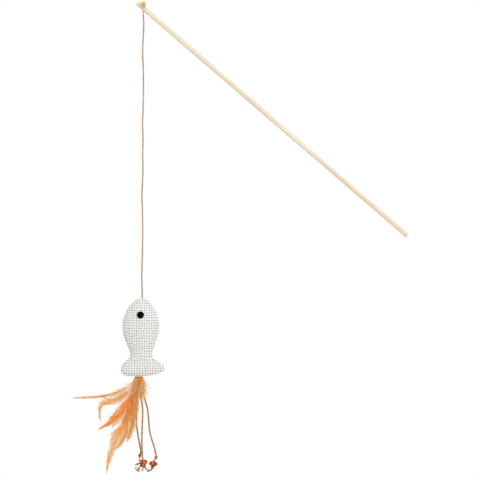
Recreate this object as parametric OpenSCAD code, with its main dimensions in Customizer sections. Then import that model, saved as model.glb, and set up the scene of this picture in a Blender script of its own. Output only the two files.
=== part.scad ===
// Cat teaser wand: a wooden dowel, a twine line, a stuffed woven fish, dyed feathers,
// and three tail cords that carry two beads and a jingle bell.
// The origin is the middle of the grip, on the dowel's axis. X is right, Z is up, Y is away.

/* [Dowel] */
// Length of the dowel
dowel_len = 400; // [300:5:600]
// Diameter of the dowel
dowel_d = 5; // [4.5:0.1:8]
// Slope of the dowel below the horizontal, in degrees
wand_slope = 40.75; // [30:0.25:50]
// From the butt end to the middle of the grip
grip_dist = 50; // [30:5:90]
// From the tip end to the middle of the cross hole
hole_dist = 8.6; // [7:0.2:15]
// Chamfer round both ends
dowel_chamfer = 0.5; // [0.2:0.1:1]
// Lean of the cross hole from upright towards the viewer, in degrees
hole_tilt = 44; // [30:1:60]

/* [Line] */
// Diameter of the twine line
twine_d = 1.8; // [1.4:0.1:2.2]
// Clearance round the line in its holes
twine_gap = 0.3; // [0.2:0.05:0.5]
// Length of the free line, from the wand to the nose
line_len = 318; // [300:2:400]
// Diameter of the stopper knot on the wand
tip_knot_d = 6.8; // [5:0.2:9]
// Height of the stopper knot above the dowel
tip_knot_h = 5.2; // [4:0.2:7]
// Straight reach of the line out of the cross hole, past the dowel
exit_reach = 1.7; // [1.5:0.1:3]
// Drop of the line from its bend to the first pivot
exit_drop = 3.4; // [3:0.2:6]
// Diameter of the knot inside the nose
nose_knot_d = 6; // [4:0.2:7]

/* [Fish] */
// Length of the body from the nose to the waist
body_len = 62; // [50:1:80]
// Width of the body
body_w = 42; // [34:1:50]
// Depth of the body
body_depth = 24; // [20:1:30]
// Width of the waist
waist_w = 25; // [20:1:32]
// Depth of the waist
waist_depth = 15; // [13:1:19]
// Length of the tail from the waist to its lower edge
tail_len = 25; // [20:1:32]
// Width of the tail
tail_w = 50; // [44:1:60]
// Depth of the tail
tail_depth = 12; // [11:0.5:16]
// Thickness of the woven cloth
cloth_t = 0.8; // [0.5:0.1:1]
// Gap between the cloth and the stuffing
stuffing_gap = 1; // [0.9:0.1:1.5]
// Diameter of the seam thread
seam_d = 0.5; // [0.3:0.05:0.6]

/* [Eyes] */
// Diameter of an eye
eye_d = 8; // [6:0.5:10]
// Height of an eye's dome
eye_h = 1.8; // [1.2:0.1:2.5]
// Diameter of an eye's shank
shank_d = 2; // [1.5:0.1:2.5]
// Length of an eye's shank
shank_len = 4.4; // [4:0.1:6]
// Diameter of an eye's washer
washer_d = 6.5; // [5.5:0.5:8]
// Thickness of an eye's washer
washer_t = 0.8; // [0.6:0.1:1.2]
// From the nose down to the middle of an eye
eye_drop = 18.2; // [14:0.2:24]
// Shift of the eyes to the left of the fish's middle
eye_shift = 1.6; // [0:0.2:3]

/* [Root] */
// Width of the bound root of the feathers
root_w = 6.6; // [6:0.2:8]
// Depth of the bound root of the feathers
root_depth = 7.6; // [7.4:0.2:9]
// Shift of the root to the left of the fish's middle
root_shift = 4.2; // [0:0.2:5]
// Height of the bound root of the feathers
root_h = 3.6; // [3:0.2:6]
// Diameter of the binding thread
thread_d = 0.4; // [0.3:0.05:0.45]
// Turns of the binding thread
thread_turns = 3; // [2:1:3]
// Diameter of the knot that anchors the root inside the tail
anchor_d = 4.6; // [3.6:0.2:5]

/* [Feathers] */
// Length of feather 1, the long thin one
feather_1_len = 76; // [60:1:90]
// Width of feather 1
feather_1_w = 5; // [3:0.2:6]
// Length of feather 2, the hooked one
feather_2_len = 68; // [60:1:84]
// Width of feather 2
feather_2_w = 9.5; // [5:0.5:12]
// Length of feather 3, the deep orange one
feather_3_len = 74; // [60:1:90]
// Width of feather 3
feather_3_w = 17.5; // [12:0.5:20]
// Length of feather 4, the wisp
feather_4_len = 62; // [50:1:76]
// Width of feather 4
feather_4_w = 6; // [4:0.5:8]
// Length of feather 5, the longest one
feather_5_len = 112; // [90:1:120]
// Width of feather 5
feather_5_w = 17; // [12:0.5:20]
// Length of feather 6, the short right one
feather_6_len = 71; // [60:1:84]
// Width of feather 6
feather_6_w = 9.4; // [6:0.2:11]
// Length of feather 7, the lobe beside the longest one
feather_7_len = 82; // [60:1:90]
// Width of feather 7
feather_7_w = 9; // [6:0.5:11]
// Length of the downy feather at the root
down_len = 22; // [15:1:28]
// Width of the downy feather
down_w = 8; // [5:0.5:10]
// Thickness of a feather at its quill
quill_t = 0.34; // [0.25:0.01:0.36]
// Spacing of the feathers from front to back at the root
feather_pitch = 0.5; // [0.46:0.01:0.55]
// Spread of the feathers from front to back, in degrees
feather_fan = 8; // [2:0.5:10]

/* [Tail cords] */
// Diameter of the tail cords
tail_cord_d = 1.8; // [1.4:0.1:1.8]
// Clearance round a tail cord in a bead
bead_gap = 0.08; // [0.03:0.01:0.1]
// Diameter of the beads
bead_d = 9.8; // [8:0.2:10]
// Height of the beads
bead_h = 5.2; // [4:0.2:6]
// Diameter of the knots that hold the beads
bead_knot_d = 3.6; // [3:0.1:4]

/* [Bell] */
// Outer diameter of the bell's shell
bell_d = 11.6; // [9:0.2:12]
// Thickness of the bell's shell
bell_t = 0.4; // [0.3:0.05:0.5]
// Width of the crimped rim round the bell
bell_rim = 0.4; // [0.3:0.1:0.6]
// Width of the bell's slots
bell_slot = 0.9; // [0.6:0.1:1.2]
// Diameter of the round holes where the slots end
bell_hole_d = 1.7; // [1.3:0.1:2]
// Diameter of the pellet inside the bell
pellet_d = 3.2; // [2.4:0.1:3.6]
// Diameter of the bell loop's wire
loop_wire_d = 0.8; // [0.6:0.05:0.9]
// Inner diameter of the bell's loop
loop_d = 3; // [2.8:0.1:3.4]

/* [Hidden] */
$fn = 48;

// Clearances between pieces: where two ends pivot, where two pieces only touch, and a cut's overrun
pivot_gap = 0.15;
touch_gap = 0.05;
washer_gap = 0.8;
cut_over = 1;
cord_sides = 8;

// Directions: along the dowel to the butt, and down out of the cross hole
along = [cos(wand_slope), 0, -sin(wand_slope)];
exit_dir = [0, sin(hole_tilt), -cos(hole_tilt)];

// Places of the line: its cross hole, its bend, and its pivots from the wand to the nose
hole_pt = -(dowel_len - grip_dist - hole_dist) * along;
surface_reach = dowel_d / 2 / sqrt(1 - pow(sin(wand_slope) * cos(hole_tilt), 2));
bend_pt = hole_pt + (surface_reach + exit_reach) * exit_dir;
tip_pivot = bend_pt - [0, 0, exit_drop];
twine_r = twine_d / 2;
pivot_reach = twine_r + pivot_gap;
twist_len = 8;

// The line wanders a little from side to side: x, y and drop below the tip pivot
line_route = [[0, 0, 0], [0.2, 0, -4], [0.5, 0.1, -10], [0.3, 0.2, -20], [-0.4, 0.1, -34], [-0.6, -0.1, -44],
    [0, -0.2, -60], [0.2, 0, -88], [-0.2, 0.2, -106], [-0.8, 0.1, -124], [-0.3, -0.1, -138], [-0.5, 0, -152],
    [-0.6, 0, -157], [-0.6, 0, -160], [-0.6, 0, -163], [-0.3, 0.1, -172], [-0.8, 0.2, -188], [-1.5, 0.1, -204],
    [-1, -0.1, -218], [-0.6, -0.2, -246], [-0.9, -0.1, -266], [-1.6, 0, -290], [-1.5, 0, -302], [-1.3, 0, -307],
    [-1.2, 0, -310]];
mid_index = 13;
route_len = 318;
function line_at(i) = tip_pivot + [line_route[i][0], line_route[i][1], line_route[i][2] * line_len / route_len];
line_foot = line_at(len(line_route) - 1);
nose_pivot = line_foot - [0, 0, twist_len * line_len / route_len];

// Stations of the fish: share of the length, shares of the half widths left and right, share of the depth
body_shares = [[0.01, 0.27, 0.2, 0.3], [0.045, 0.43, 0.36, 0.46], [0.1, 0.59, 0.48, 0.6],
    [0.17, 0.76, 0.62, 0.75], [0.26, 0.9, 0.75, 0.88], [0.36, 1.01, 0.86, 0.97], [0.46, 1.07, 0.92, 1],
    [0.57, 1.06, 0.92, 0.98], [0.68, 1, 0.83, 0.92], [0.78, 0.89, 0.74, 0.84], [0.89, 0.76, 0.64, 0.73]];
waist_shares = [1.09, 0.91];
tail_shares = [[0.2, 0.6, 0.52, 1.16], [0.33, 0.79, 0.71, 1.08], [0.47, 0.9, 0.92, 1.03],
    [0.61, 0.96, 1.02, 1], [0.74, 0.98, 1, 0.94], [0.86, 0.94, 0.84, 0.8], [0.95, 0.85, 0.52, 0.58]];
tail_foot_shares = [0.75, 0.28];
panel_steps = 8;

fish_len = body_len + tail_len;
neck_r = twine_r + twine_gap + cloth_t;
tail_slot = twine_r + twine_gap;
fish_top = nose_pivot - [0, 0, pivot_reach + touch_gap];

// Each station of the fish: drop below the nose, left and right half widths, and half depth
stations = concat([[0, neck_r, neck_r, neck_r]],
    [for (s = body_shares) [s[0] * body_len, s[1] * body_w / 2, s[2] * body_w / 2, s[3] * body_depth / 2]],
    [[body_len, waist_shares[0] * waist_w / 2, waist_shares[1] * waist_w / 2, waist_depth / 2]],
    [for (s = tail_shares)
        [body_len + s[0] * tail_len, s[1] * tail_w / 2, s[2] * tail_w / 2, s[3] * tail_depth / 2]],
    [[fish_len, tail_foot_shares[0] * tail_w / 2, tail_foot_shares[1] * tail_w / 2, tail_slot + cloth_t]]);
function station(drop) = [drop, for (k = [1:3]) lookup(drop, [for (s = stations) [s[0], s[k]]])];

// The eyes sit square to the cloth, which slopes there
eye_r = eye_d / 2;
eye_at = station(eye_drop);
eye_slope = atan((station(eye_drop + eye_r)[3] - station(eye_drop - eye_r)[3]) / eye_d);

// The root hangs under the tail, and every feather turns at its foot
root_pt = fish_top - [root_shift, 0, fish_len + touch_gap + root_h];
feather_foot = root_pt - [0, 0, pivot_gap + quill_t];
feather_count = 8;

// Leans of each feather's spine from straight down towards the left, in degrees, root to tip
feather_1_leans = [50, 57, 67, 79, 86, 88, 89];
feather_2_leans = [34, 38, 54, 74, 66, 4, -14];
feather_3_leans = [14, 22, 28, 37, 49, 58, 62];
feather_4_leans = [16, 24, 30, 33, 33, 30, 26];
feather_5_leans = [8, 12, 20, 30, 29, 15, 5];
feather_6_leans = [8, 8, 7, 8, 11, 16, 24];
feather_7_leans = [9, 13, 17, 16, 15, 22, 36];
down_leans = [-40, -24, -10, -4, 0, 4, 6];

// Half widths of a vane as shares of the width: along the spine, left, right
slim_shares = [[0, 0.08, 0.08], [0.12, 0.28, 0.32], [0.28, 0.46, 0.46], [0.48, 0.5, 0.46], [0.7, 0.27, 0.22],
    [0.9, 0.11, 0.1], [1, 0.03, 0.03]];
broad_shares = [[0, 0.05, 0.05], [0.12, 0.2, 0.2], [0.27, 0.36, 0.34], [0.46, 0.5, 0.5], [0.58, 0.45, 0.46],
    [0.7, 0.26, 0.3], [0.84, 0.12, 0.13], [1, 0.02, 0.02]];
even_shares = [[0, 0.08, 0.08], [0.14, 0.3, 0.24], [0.35, 0.42, 0.34], [0.62, 0.54, 0.4], [0.76, 0.46, 0.36],
    [0.9, 0.22, 0.2], [1, 0.02, 0.02]];
feather_steps = 14;

// Routes of the tail cords from the root's foot: x, y and height, in the order top, pivot, end
tail_cord_r = tail_cord_d / 2;
tail_pivot_reach = tail_cord_r + pivot_gap;
bell_top_route = [[-1, 2.9, 0], [-1, 2.9, -0.8], [-1.2, 2.9, -3], [-1.4, 3, -8], [-1.5, 3, -14], [-1.4, 3, -22.5]];
middle_top_route = [[0, 1.35, 0], [0, 1.35, -0.8], [0.3, 1.4, -5], [1.2, 1.4, -12], [2.4, 1.4, -18], [3.2, 1.4, -22.5]];
right_top_route = [[1, 2.9, 0], [1, 2.9, -0.8], [1.6, 2.9, -4], [3, 3, -10], [5, 3, -16], [7.2, 3, -22.5]];
function below_top(route) = root_pt + route[len(route) - 1] - [0, 0, tail_pivot_reach];
bell_pivot = below_top(bell_top_route);
middle_pivot = below_top(middle_top_route);
right_pivot = below_top(right_top_route);
bell_route = [[-1.5, 3, -26], [-2, 3.2, -34], [-2.4, 3.5, -42], [-2.2, 3.9, -50], [-1.3, 4.4, -59],
    [0.1, 5, -68], [1.8, 5.7, -77], [2.4, 6.1, -81], [1.7, 6.4, -84.8]];
middle_route = [[3.9, 1.3, -27], [4.6, 1, -33], [4.7, 0.6, -40], [4.4, -0.3, -50], [4, -1.3, -62],
    [3.9, -2.3, -72], [4.2, -3.3, -80], [4.6, -3.8, -86.5]];
right_route = [[8.4, 2.9, -27], [9.8, 2.7, -32], [10.9, 2.5, -40], [11.6, 2.3, -49], [12.4, 2.1, -58],
    [14.4, 1.9, -66], [17, 1.7, -74], [18.9, 1.6, -81], [19.6, 1.5, -85.5], [19.9, 1.5, -88], [18.6, 1.5, -90.4]];

// Beads: middle point from the root's foot, and the cord's direction through each
middle_bead_at = root_pt + [5.5, -2.6, -93.2];
middle_bead_dir = unit([0.24, 0.28, -0.93]);
right_bead_at = root_pt + [16.5, 1.5, -94.9];
right_bead_dir = unit([-0.18, 0, -0.98]);

// Bell: the bight of the cord holds the loop, and the loop's legs hold the shell
loop_r = loop_d / 2 + loop_wire_d / 2;
bight_wire_r = 0.6;
bight_r = 2;
bell_hang = root_pt + [1.1, 6.5, -92.2];
loop_pt = bell_hang + [0, 0, bight_wire_r + touch_gap - loop_d / 2];
bell_r = bell_d / 2;
leg_len = 1.4;
bell_pt = loop_pt - [0, 0, leg_len / 2 + sqrt(bell_r * bell_r - loop_r * loop_r)];
pellet_pt = bell_pt - [0, 0, bell_r - bell_t - touch_gap - pellet_d / 2];

// Colours
wood = [0.9, 0.82, 0.7];
twine = [0.72, 0.55, 0.42];
cloth = [0.92, 0.92, 0.9];
black = [0.04, 0.04, 0.04];
deep_orange = [0.87, 0.47, 0.18];
pale_orange = [0.93, 0.66, 0.4];
bead_red = [0.85, 0.3, 0.08];
silver = [0.82, 0.82, 0.8];

function unit(v) = v / norm(v);
function heading(p, i) = unit(p[min(i + 1, len(p) - 1)] - p[max(i - 1, 0)]);
function moved(p, by) = [for (q = p) q + by];
function reversed(p) = [for (i = [len(p) - 1:-1:0]) p[i]];
function slice(p, from, to) = [for (i = [from:to]) p[i]];

// A ring of points round a place on a route
function ring(c, t, r, n) = let (s = unit(cross(t, [0, 1, 0])), u = cross(t, s))
    [for (k = [0:n - 1]) c + r * (cos(360 * k / n) * s + sin(360 * k / n) * u)];

// A closed skin over a list of rings that have the same number of points
module loft(rings) {
    n = len(rings[0]);
    m = len(rings);
    polyhedron([for (r = rings) each r], concat(
        [[for (k = [0:n - 1]) k]],
        [for (i = [0:m - 2], k = [0:n - 1], half = [0, 1])
            let (a = i * n + k, b = i * n + (k + 1) % n)
            half == 0 ? [a, a + n, b + n] : [a, b + n, b]],
        [[for (k = [n - 1:-1:0]) (m - 1) * n + k]]));
}

// A cord along a route, with one radius for each point
module cord(p, r, n = cord_sides)
    loft([for (i = [0:len(p) - 1]) ring(p[i], heading(p, i), is_list(r) ? r[i] : r, n)]);

// Points and radii of a round end: a ball's far half, drawn in three steps
ball_shares = [[-0.98, 0.2], [-0.8, 0.6], [-0.4, 0.916]];
function ball_points(c, t, r) = [for (b = ball_shares) c + b[0] * r * t];
function ball_radii(r) = [for (b = ball_shares) b[1] * r];

// A cord that starts with a ball about its pivot and follows its route
module hung_cord(pivot, p, r, n = cord_sides) {
    t = unit(p[0] - pivot);
    cord(concat(ball_points(pivot, t, r), [pivot], p),
        concat(ball_radii(r), [for (i = [0:len(p)]) r]), n);
}

// A knot's bulge along a direction: places as shares of its length and radii as shares of its half width
knot_shares = [[0, 0.5], [0.12, 0.8], [0.35, 1], [0.65, 1], [0.88, 0.8], [1, 0.5]];
function knot_points(c, t, h) = [for (k = knot_shares) c + k[0] * h * t];
function knot_radii(d) = [for (k = knot_shares) k[1] * d / 2];

module dowel() {
    color(wood) difference() {
        rotate([0, 90 + wand_slope, 0]) rotate_extrude()
            polygon([[0, grip_dist], [dowel_d / 2 - dowel_chamfer, grip_dist],
                [dowel_d / 2, grip_dist - dowel_chamfer], [dowel_d / 2, grip_dist - dowel_len + dowel_chamfer],
                [dowel_d / 2 - dowel_chamfer, grip_dist - dowel_len], [0, grip_dist - dowel_len]]);
        translate(hole_pt) rotate([hole_tilt, 0, 0])
            cylinder(r = twine_r + twine_gap, h = 2 * dowel_d, center = true);
    }
}

// Stopper knot, the strand through the cross hole, and the short bend out of it
module tip_knot() {
    knot_top = hole_pt - (surface_reach + tip_knot_h) * exit_dir;
    knot_p = knot_points(knot_top, exit_dir, tip_knot_h);
    turn = (surface_reach + exit_reach / 2) * exit_dir + hole_pt;
    down = tip_pivot + [0, 0, pivot_reach];
    bend_p = [for (s = [0:0.25:1]) (1 - s) * (1 - s) * turn + 2 * s * (1 - s) * bend_pt + s * s * down];
    p = concat(knot_p, [hole_pt], bend_p);
    r = concat(knot_radii(tip_knot_d), [for (i = [0:len(bend_p)]) twine_r]);
    color(twine) cord(p, r);
}

module line_upper() {
    p = [for (i = [1:mid_index - 1]) line_at(i)];
    color(twine) hung_cord(tip_pivot, concat(p, [line_at(mid_index) + [0, 0, pivot_reach]]), twine_r);
}

module line_lower() {
    p = [for (i = [mid_index + 1:len(line_route) - 1]) line_at(i)];
    color(twine) hung_cord(line_at(mid_index), p, twine_r);
}

// The last short stretch of the line: it twists under the long one, and its ball is the nose's pivot
module line_end() {
    top = line_foot - [0, 0, touch_gap];
    p = concat([top, (top + nose_pivot) / 2, nose_pivot],
        reversed(ball_points(nose_pivot, [0, 0, 1], twine_r)));
    color(twine) cord(p, concat([twine_r, twine_r, twine_r], reversed(ball_radii(twine_r))));
}

// The line's end inside the nose: a strand through the gathered cloth, and its knot
module nose_knot() {
    top = nose_pivot - [0, 0, pivot_reach];
    strand = [top, top - [0, 0, neck_r]];
    k = knot_points(strand[1] - [0, 0, neck_r], [0, 0, -1], nose_knot_d);
    color(twine) cord(concat(strand, k), concat([twine_r, twine_r], knot_radii(nose_knot_d)));
}

// Half of a ring of the fish at a station, drawn in by an inset, at the front or the back
function half_ring(s, inset, side) = [for (k = [0:panel_steps])
    let (a = 180 * k / panel_steps, w = cos(a) < 0 ? s[1] : s[2])
    fish_top + [cos(a) * (w - inset), side * sin(a) * (s[3] - inset), -s[0]]];

// One sewn panel: an outer and an inner skin, closed round the seam, the neck and the slot
module panel(side) {
    n = panel_steps + 1;
    m = len(stations);
    outer = [for (s = stations) each half_ring(s, 0, side)];
    inner = [for (s = stations) each half_ring(s, cloth_t, side)];
    deep = n * m;
    quads = concat(
        [for (i = [0:m - 2], k = [0:n - 2]) [i * n + k, i * n + k + 1, (i + 1) * n + k + 1, (i + 1) * n + k]],
        [for (i = [0:m - 2], k = [0:n - 2])
            [deep + i * n + k, deep + (i + 1) * n + k, deep + (i + 1) * n + k + 1, deep + i * n + k + 1]],
        [for (i = [0:m - 2]) [i * n, (i + 1) * n, deep + (i + 1) * n, deep + i * n]],
        [for (i = [0:m - 2])
            [i * n + n - 1, deep + i * n + n - 1, deep + (i + 1) * n + n - 1, (i + 1) * n + n - 1]],
        [for (k = [0:n - 2]) [k, deep + k, deep + k + 1, k + 1]],
        [for (k = [0:n - 2]) let (a = (m - 1) * n + k) [a, a + 1, deep + a + 1, deep + a]]);
    tris = [for (q = quads) each [[q[0], q[1], q[2]], [q[0], q[2], q[3]]]];
    polyhedron(concat(outer, inner), side > 0 ? tris : [for (t = tris) reversed(t)]);
}

// An eye's dome: radii as shares of its radius, heights as shares of its height
dome_shares = [[0.92, 0.03], [1, 0.25], [0.94, 0.5], [0.75, 0.8], [0.45, 0.95], [0, 1]];

// Places a shape on an eye's seat: its own z runs out of the cloth
module at_eye(side) {
    translate(fish_top + [-eye_shift, side * eye_at[3], -eye_drop])
        rotate([-side * (90 - eye_slope), 0, 0]) children();
}

module fish_front() {
    color(cloth) difference() {
        panel(-1);
        at_eye(-1) cylinder(d = shank_d + 2 * touch_gap, h = 2 * shank_len, center = true);
    }
}

module fish_back() {
    color(cloth) difference() {
        panel(1);
        at_eye(1) cylinder(d = shank_d + 2 * touch_gap, h = 2 * shank_len, center = true);
    }
}

// The fill: smooth rings inside the cloth, with pockets for the knots and the eyes' washers
module fish_stuffing() {
    inset = cloth_t + stuffing_gap;
    inner = [for (i = [1:len(stations) - 2]) stations[i]];
    rings = [for (s = inner) concat(half_ring(s, inset, 1),
        slice(reversed(half_ring(s, inset, -1)), 1, panel_steps - 1))];
    knot_pocket = pivot_gap + neck_r + neck_r + nose_knot_d;
    anchor_pocket = tail_len / 2;
    color([0.97, 0.97, 0.96]) difference() {
        loft(rings);
        translate(fish_top - [0, 0, knot_pocket])
            cylinder(d = nose_knot_d + 2 * stuffing_gap, h = knot_pocket + cut_over);
        translate(fish_top - [root_shift, 0, fish_len + cut_over])
            cylinder(d = anchor_d + 2 * stuffing_gap, h = anchor_pocket + cut_over);
        for (side = [-1, 1])
            at_eye(side) translate([0, 0, -shank_len - touch_gap])
                cylinder(d = washer_d + 2 * touch_gap, h = 2 * shank_len);
    }
}

// The seam's stitches run inside the joined edges, one run down each side
module seam_thread() {
    inset = cloth_t + touch_gap + seam_d / 2;
    runs = [for (side = [-1, 1]) [for (i = [1:len(stations) - 3]) let (s = stations[i])
        fish_top + [side * ((side < 0 ? s[1] : s[2]) - inset), 0, -s[0]]]];
    color(cloth) for (run = runs) cord(run, seam_d / 2, 6);
}

// Domed eye with its shank
module eye(side) {
    color(black) at_eye(side) {
        rotate_extrude() polygon(concat(
            [[0, -shank_len], [shank_d / 2, -shank_len], [shank_d / 2, dome_shares[0][1] * eye_h]],
            [for (s = dome_shares) [s[0] * eye_r, s[1] * eye_h]]));
    }
}
module eye_front() { eye(-1); }
module eye_back() { eye(1); }

// Toothed disc that locks an eye's shank behind the cloth
module eye_washer(side) {
    drop = cloth_t + washer_gap + washer_t;
    color([0.85, 0.85, 0.83]) at_eye(side) translate([0, 0, -drop]) difference() {
        cylinder(d = washer_d, h = washer_t);
        translate([0, 0, -cut_over]) cylinder(d = shank_d + 2 * touch_gap, h = washer_t + 2 * cut_over);
    }
}
module eye_washer_front() { eye_washer(-1); }
module eye_washer_back() { eye_washer(1); }

// The knot inside the tail, with the strand that carries the root
module tail_anchor() {
    foot = root_pt + [0, 0, root_h];
    knot_top = foot + [0, 0, anchor_d + tail_slot + cloth_t + stuffing_gap];
    k = knot_points(knot_top, [0, 0, -1], anchor_d);
    color(twine) cord(concat(k, [foot]), concat(knot_radii(anchor_d), [twine_r]));
}

// Feather butts and cord ends, bound into one oval root
module feather_root() {
    color(deep_orange) translate(root_pt) scale([root_w / root_depth, 1, 1])
        cylinder(d = root_depth, h = root_h);
}

// Thread wound round the root in open turns
module binding_thread() {
    around = 24;
    rise = (root_h - 2 * thread_d) / thread_turns;
    p = [for (i = [0:around * thread_turns]) let (a = 360 * i / around)
        root_pt + [cos(a) * (root_w / 2 + thread_d), sin(a) * (root_depth / 2 + thread_d),
            thread_d + rise * i / around]];
    echo(least_thread_gap = rise - thread_d);
    color([0.4, 0.2, 0.14]) loft([for (i = [0:len(p) - 1])
        let (t = heading(p, i), s = unit(cross(t, [0, 0, 1])), u = cross(t, s))
        [for (k = [0:5]) p[i] + thread_d / 2 * (cos(60 * k) * s + sin(60 * k) * u)]]);
}

// Spine of a feather: its leans are followed step by step, and it keeps to its own layer
function layer_y(layer, r) =
    (layer - feather_count + 1) * (feather_pitch + r * tan(feather_fan) / feather_count);
function lean_at(leans, t) = lookup(t, [for (i = [0:len(leans) - 1]) [i / (len(leans) - 1), leans[i]]]);
function spine(leans, length, i) = i == 0 ? [0, 0] : let (q = spine(leans, length, i - 1),
    a = lean_at(leans, (i - 0.5) / feather_steps)) q + length / feather_steps * [-sin(a), -cos(a)];
module feather(leans, shares, length, width, layer, foot_share, tint) {
    flat = [for (i = [0:feather_steps]) spine(leans, length, i) + [foot_share * root_w, 0]];
    p = [for (q = flat) feather_foot + [q[0], layer_y(layer, norm(q)), q[1]]];
    color(tint) loft([for (i = [0:feather_steps])
        let (share = i / feather_steps, a = lean_at(leans, share), side = [-cos(a), 0, sin(a)],
            left = max(width * lookup(share, [for (s = shares) [s[0], s[1]]]), quill_t / 2),
            right = max(width * lookup(share, [for (s = shares) [s[0], s[2]]]), quill_t / 2),
            thick = quill_t / 2 * (1 - share / 2))
        [p[i] + left * side, p[i] + [0, thick, 0], p[i] - right * side, p[i] - [0, thick, 0]]]);
}
module feather_1() { feather(feather_1_leans, slim_shares, feather_1_len, feather_1_w, 1, -0.3, deep_orange); }
module feather_2() { feather(feather_2_leans, slim_shares, feather_2_len, feather_2_w, 3, -0.2, pale_orange); }
module feather_3() { feather(feather_3_leans, broad_shares, feather_3_len, feather_3_w, 2, -0.1, deep_orange); }
module feather_4() { feather(feather_4_leans, slim_shares, feather_4_len, feather_4_w, 7, 0, pale_orange); }
module feather_5() { feather(feather_5_leans, broad_shares, feather_5_len, feather_5_w, 4, 0, pale_orange); }
module feather_6() { feather(feather_6_leans, even_shares, feather_6_len, feather_6_w, 5, 0.08, deep_orange); }
module feather_7() { feather(feather_7_leans, even_shares, feather_7_len, feather_7_w, 6, 0.04, pale_orange); }
module down_feather() { feather(down_leans, even_shares, down_len, down_w, 0, 0.3, pale_orange); }

// The tops of the tail cords, held in the root and among the feathers
module bell_cord_top() { color(twine) cord(moved(bell_top_route, root_pt), tail_cord_r); }
module middle_cord_top() { color(twine) cord(moved(middle_top_route, root_pt), tail_cord_r); }
module right_cord_top() { color(twine) cord(moved(right_top_route, root_pt), tail_cord_r); }

// The free tail cords
module bell_cord() { color(twine) hung_cord(bell_pivot, moved(bell_route, root_pt), tail_cord_r); }
module middle_cord() {
    reach = bead_h / 2 + touch_gap;
    p = concat(moved(middle_route, root_pt),
        [middle_bead_at - reach * middle_bead_dir, middle_bead_at + reach * middle_bead_dir]);
    color(twine) hung_cord(middle_pivot, p, tail_cord_r);
}
module right_cord() {
    reach = bead_h / 2 + touch_gap;
    p = concat(moved(right_route, root_pt),
        [right_bead_at - reach * right_bead_dir, right_bead_at + reach * right_bead_dir]);
    color(twine) hung_cord(right_pivot, p, tail_cord_r);
}

// A bead turned about its own cord: radii as shares of its diameter, heights as shares of its height
bead_shares = [[0.26, -0.5], [0.42, -0.32], [0.5, -0.1], [0.5, 0.1], [0.42, 0.32], [0.26, 0.5]];
module bead(at, dir) {
    lean = acos(-dir[2]);
    turn = atan2(-dir[1], -dir[0]);
    hole_r = tail_cord_r + bead_gap;
    color(bead_red) translate(at) rotate([0, lean, turn]) rotate_extrude()
        polygon(concat([[hole_r, -bead_h / 2]], [for (s = bead_shares) [s[0] * bead_d, s[1] * bead_h]],
            [[hole_r, bead_h / 2]]));
}
module middle_bead() { bead(middle_bead_at, middle_bead_dir); }
module right_bead() { bead(right_bead_at, right_bead_dir); }

// A knot under a bead, with its cut tail
cut_tail_share = 0.8;
module stop_knot(at, dir, tail) {
    top = at + (bead_h / 2 + touch_gap) * dir;
    k = knot_points(top, dir, bead_knot_d);
    color(twine) cord(concat(k, [for (t = tail) top + t]),
        concat(knot_radii(bead_knot_d), [for (t = tail) tail_cord_r * cut_tail_share]));
}
module middle_knot() { stop_knot(middle_bead_at, middle_bead_dir, [[2.4, 0.9, -4.6], [4.4, 0.9, -6.2]]); }
module right_knot() { stop_knot(right_bead_at, right_bead_dir, [[-1.6, 0, -4.4], [-4.2, 0, -5.2]]); }

// The knot on the right cord above its bead: it sits round the cord
ring_knot_shares = [[0, -0.8], [0.5, -1], [1, -0.5], [1, 0.5], [0.5, 1], [0, 0.8]];
ring_knot_h = 2.2;
module right_upper_knot() {
    i = len(right_route) - 2;
    c = root_pt + right_route[i];
    t = heading(right_route, i);
    inner = tail_cord_r + touch_gap;
    color(twine) translate(c) rotate([0, acos(t[2]), atan2(t[1], t[0])]) rotate_extrude()
        polygon([for (s = ring_knot_shares)
            [inner + s[0] * (bead_knot_d / 2 - inner), s[1] * ring_knot_h / 2]]);
}

// The bell cord's knot above its bight
module bell_knot() {
    foot = bell_hang + [0, 0, 2 * bight_r + bight_wire_r + 2 * touch_gap];
    end = root_pt + bell_route[len(bell_route) - 1];
    top = end + 2 * touch_gap * unit(foot - end);
    color(twine) cord([for (k = knot_shares) foot * k[0] + top * (1 - k[0])], knot_radii(bead_knot_d));
}

// The cord's bight: the loop hangs in it
module bell_bight() {
    color(twine) translate(bell_hang + [0, 0, bight_r]) rotate([0, 90, 0])
        rotate_extrude() translate([bight_r, 0]) circle(r = bight_wire_r);
}

// Wire staple on top of the bell, with its legs through the shell
module bell_loop() {
    color(silver) translate(loop_pt) {
        rotate([90, 0, 0]) rotate_extrude(angle = 180) translate([loop_r, 0]) circle(d = loop_wire_d);
        for (side = [-1, 1])
            translate([side * loop_r, 0, -leg_len]) cylinder(d = loop_wire_d, h = leg_len);
    }
}

// Half of the bell's shell with its crimped rim
module bell_half() {
    difference() {
        union() {
            intersection() {
                sphere(r = bell_r);
                translate([-bell_d, -bell_d, 0]) cube([2 * bell_d, 2 * bell_d, bell_d]);
            }
            cylinder(r = bell_r + bell_rim, h = bell_t);
        }
        sphere(r = bell_r - bell_t);
    }
}
module bell_upper() {
    color(silver) difference() {
        translate(bell_pt) bell_half();
        for (side = [-1, 1])
            translate(loop_pt + [side * loop_r, 0, -2 * leg_len])
                cylinder(d = loop_wire_d + 2 * touch_gap, h = 2 * leg_len);
    }
}
slot_top_share = 0.3;
slot_turns = [75, 165];
module bell_lower() {
    slot_top = slot_top_share * bell_r;
    color([0.78, 0.78, 0.76]) translate(bell_pt) difference() {
        mirror([0, 0, 1]) bell_half();
        for (turn = slot_turns) rotate([0, 0, turn]) {
            translate([-bell_d, -bell_slot / 2, -slot_top - bell_d]) cube([2 * bell_d, bell_slot, bell_d]);
            translate([0, 0, -slot_top]) rotate([0, 90, 0])
                cylinder(d = bell_hole_d, h = 2 * bell_d, center = true);
        }
    }
}
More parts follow.
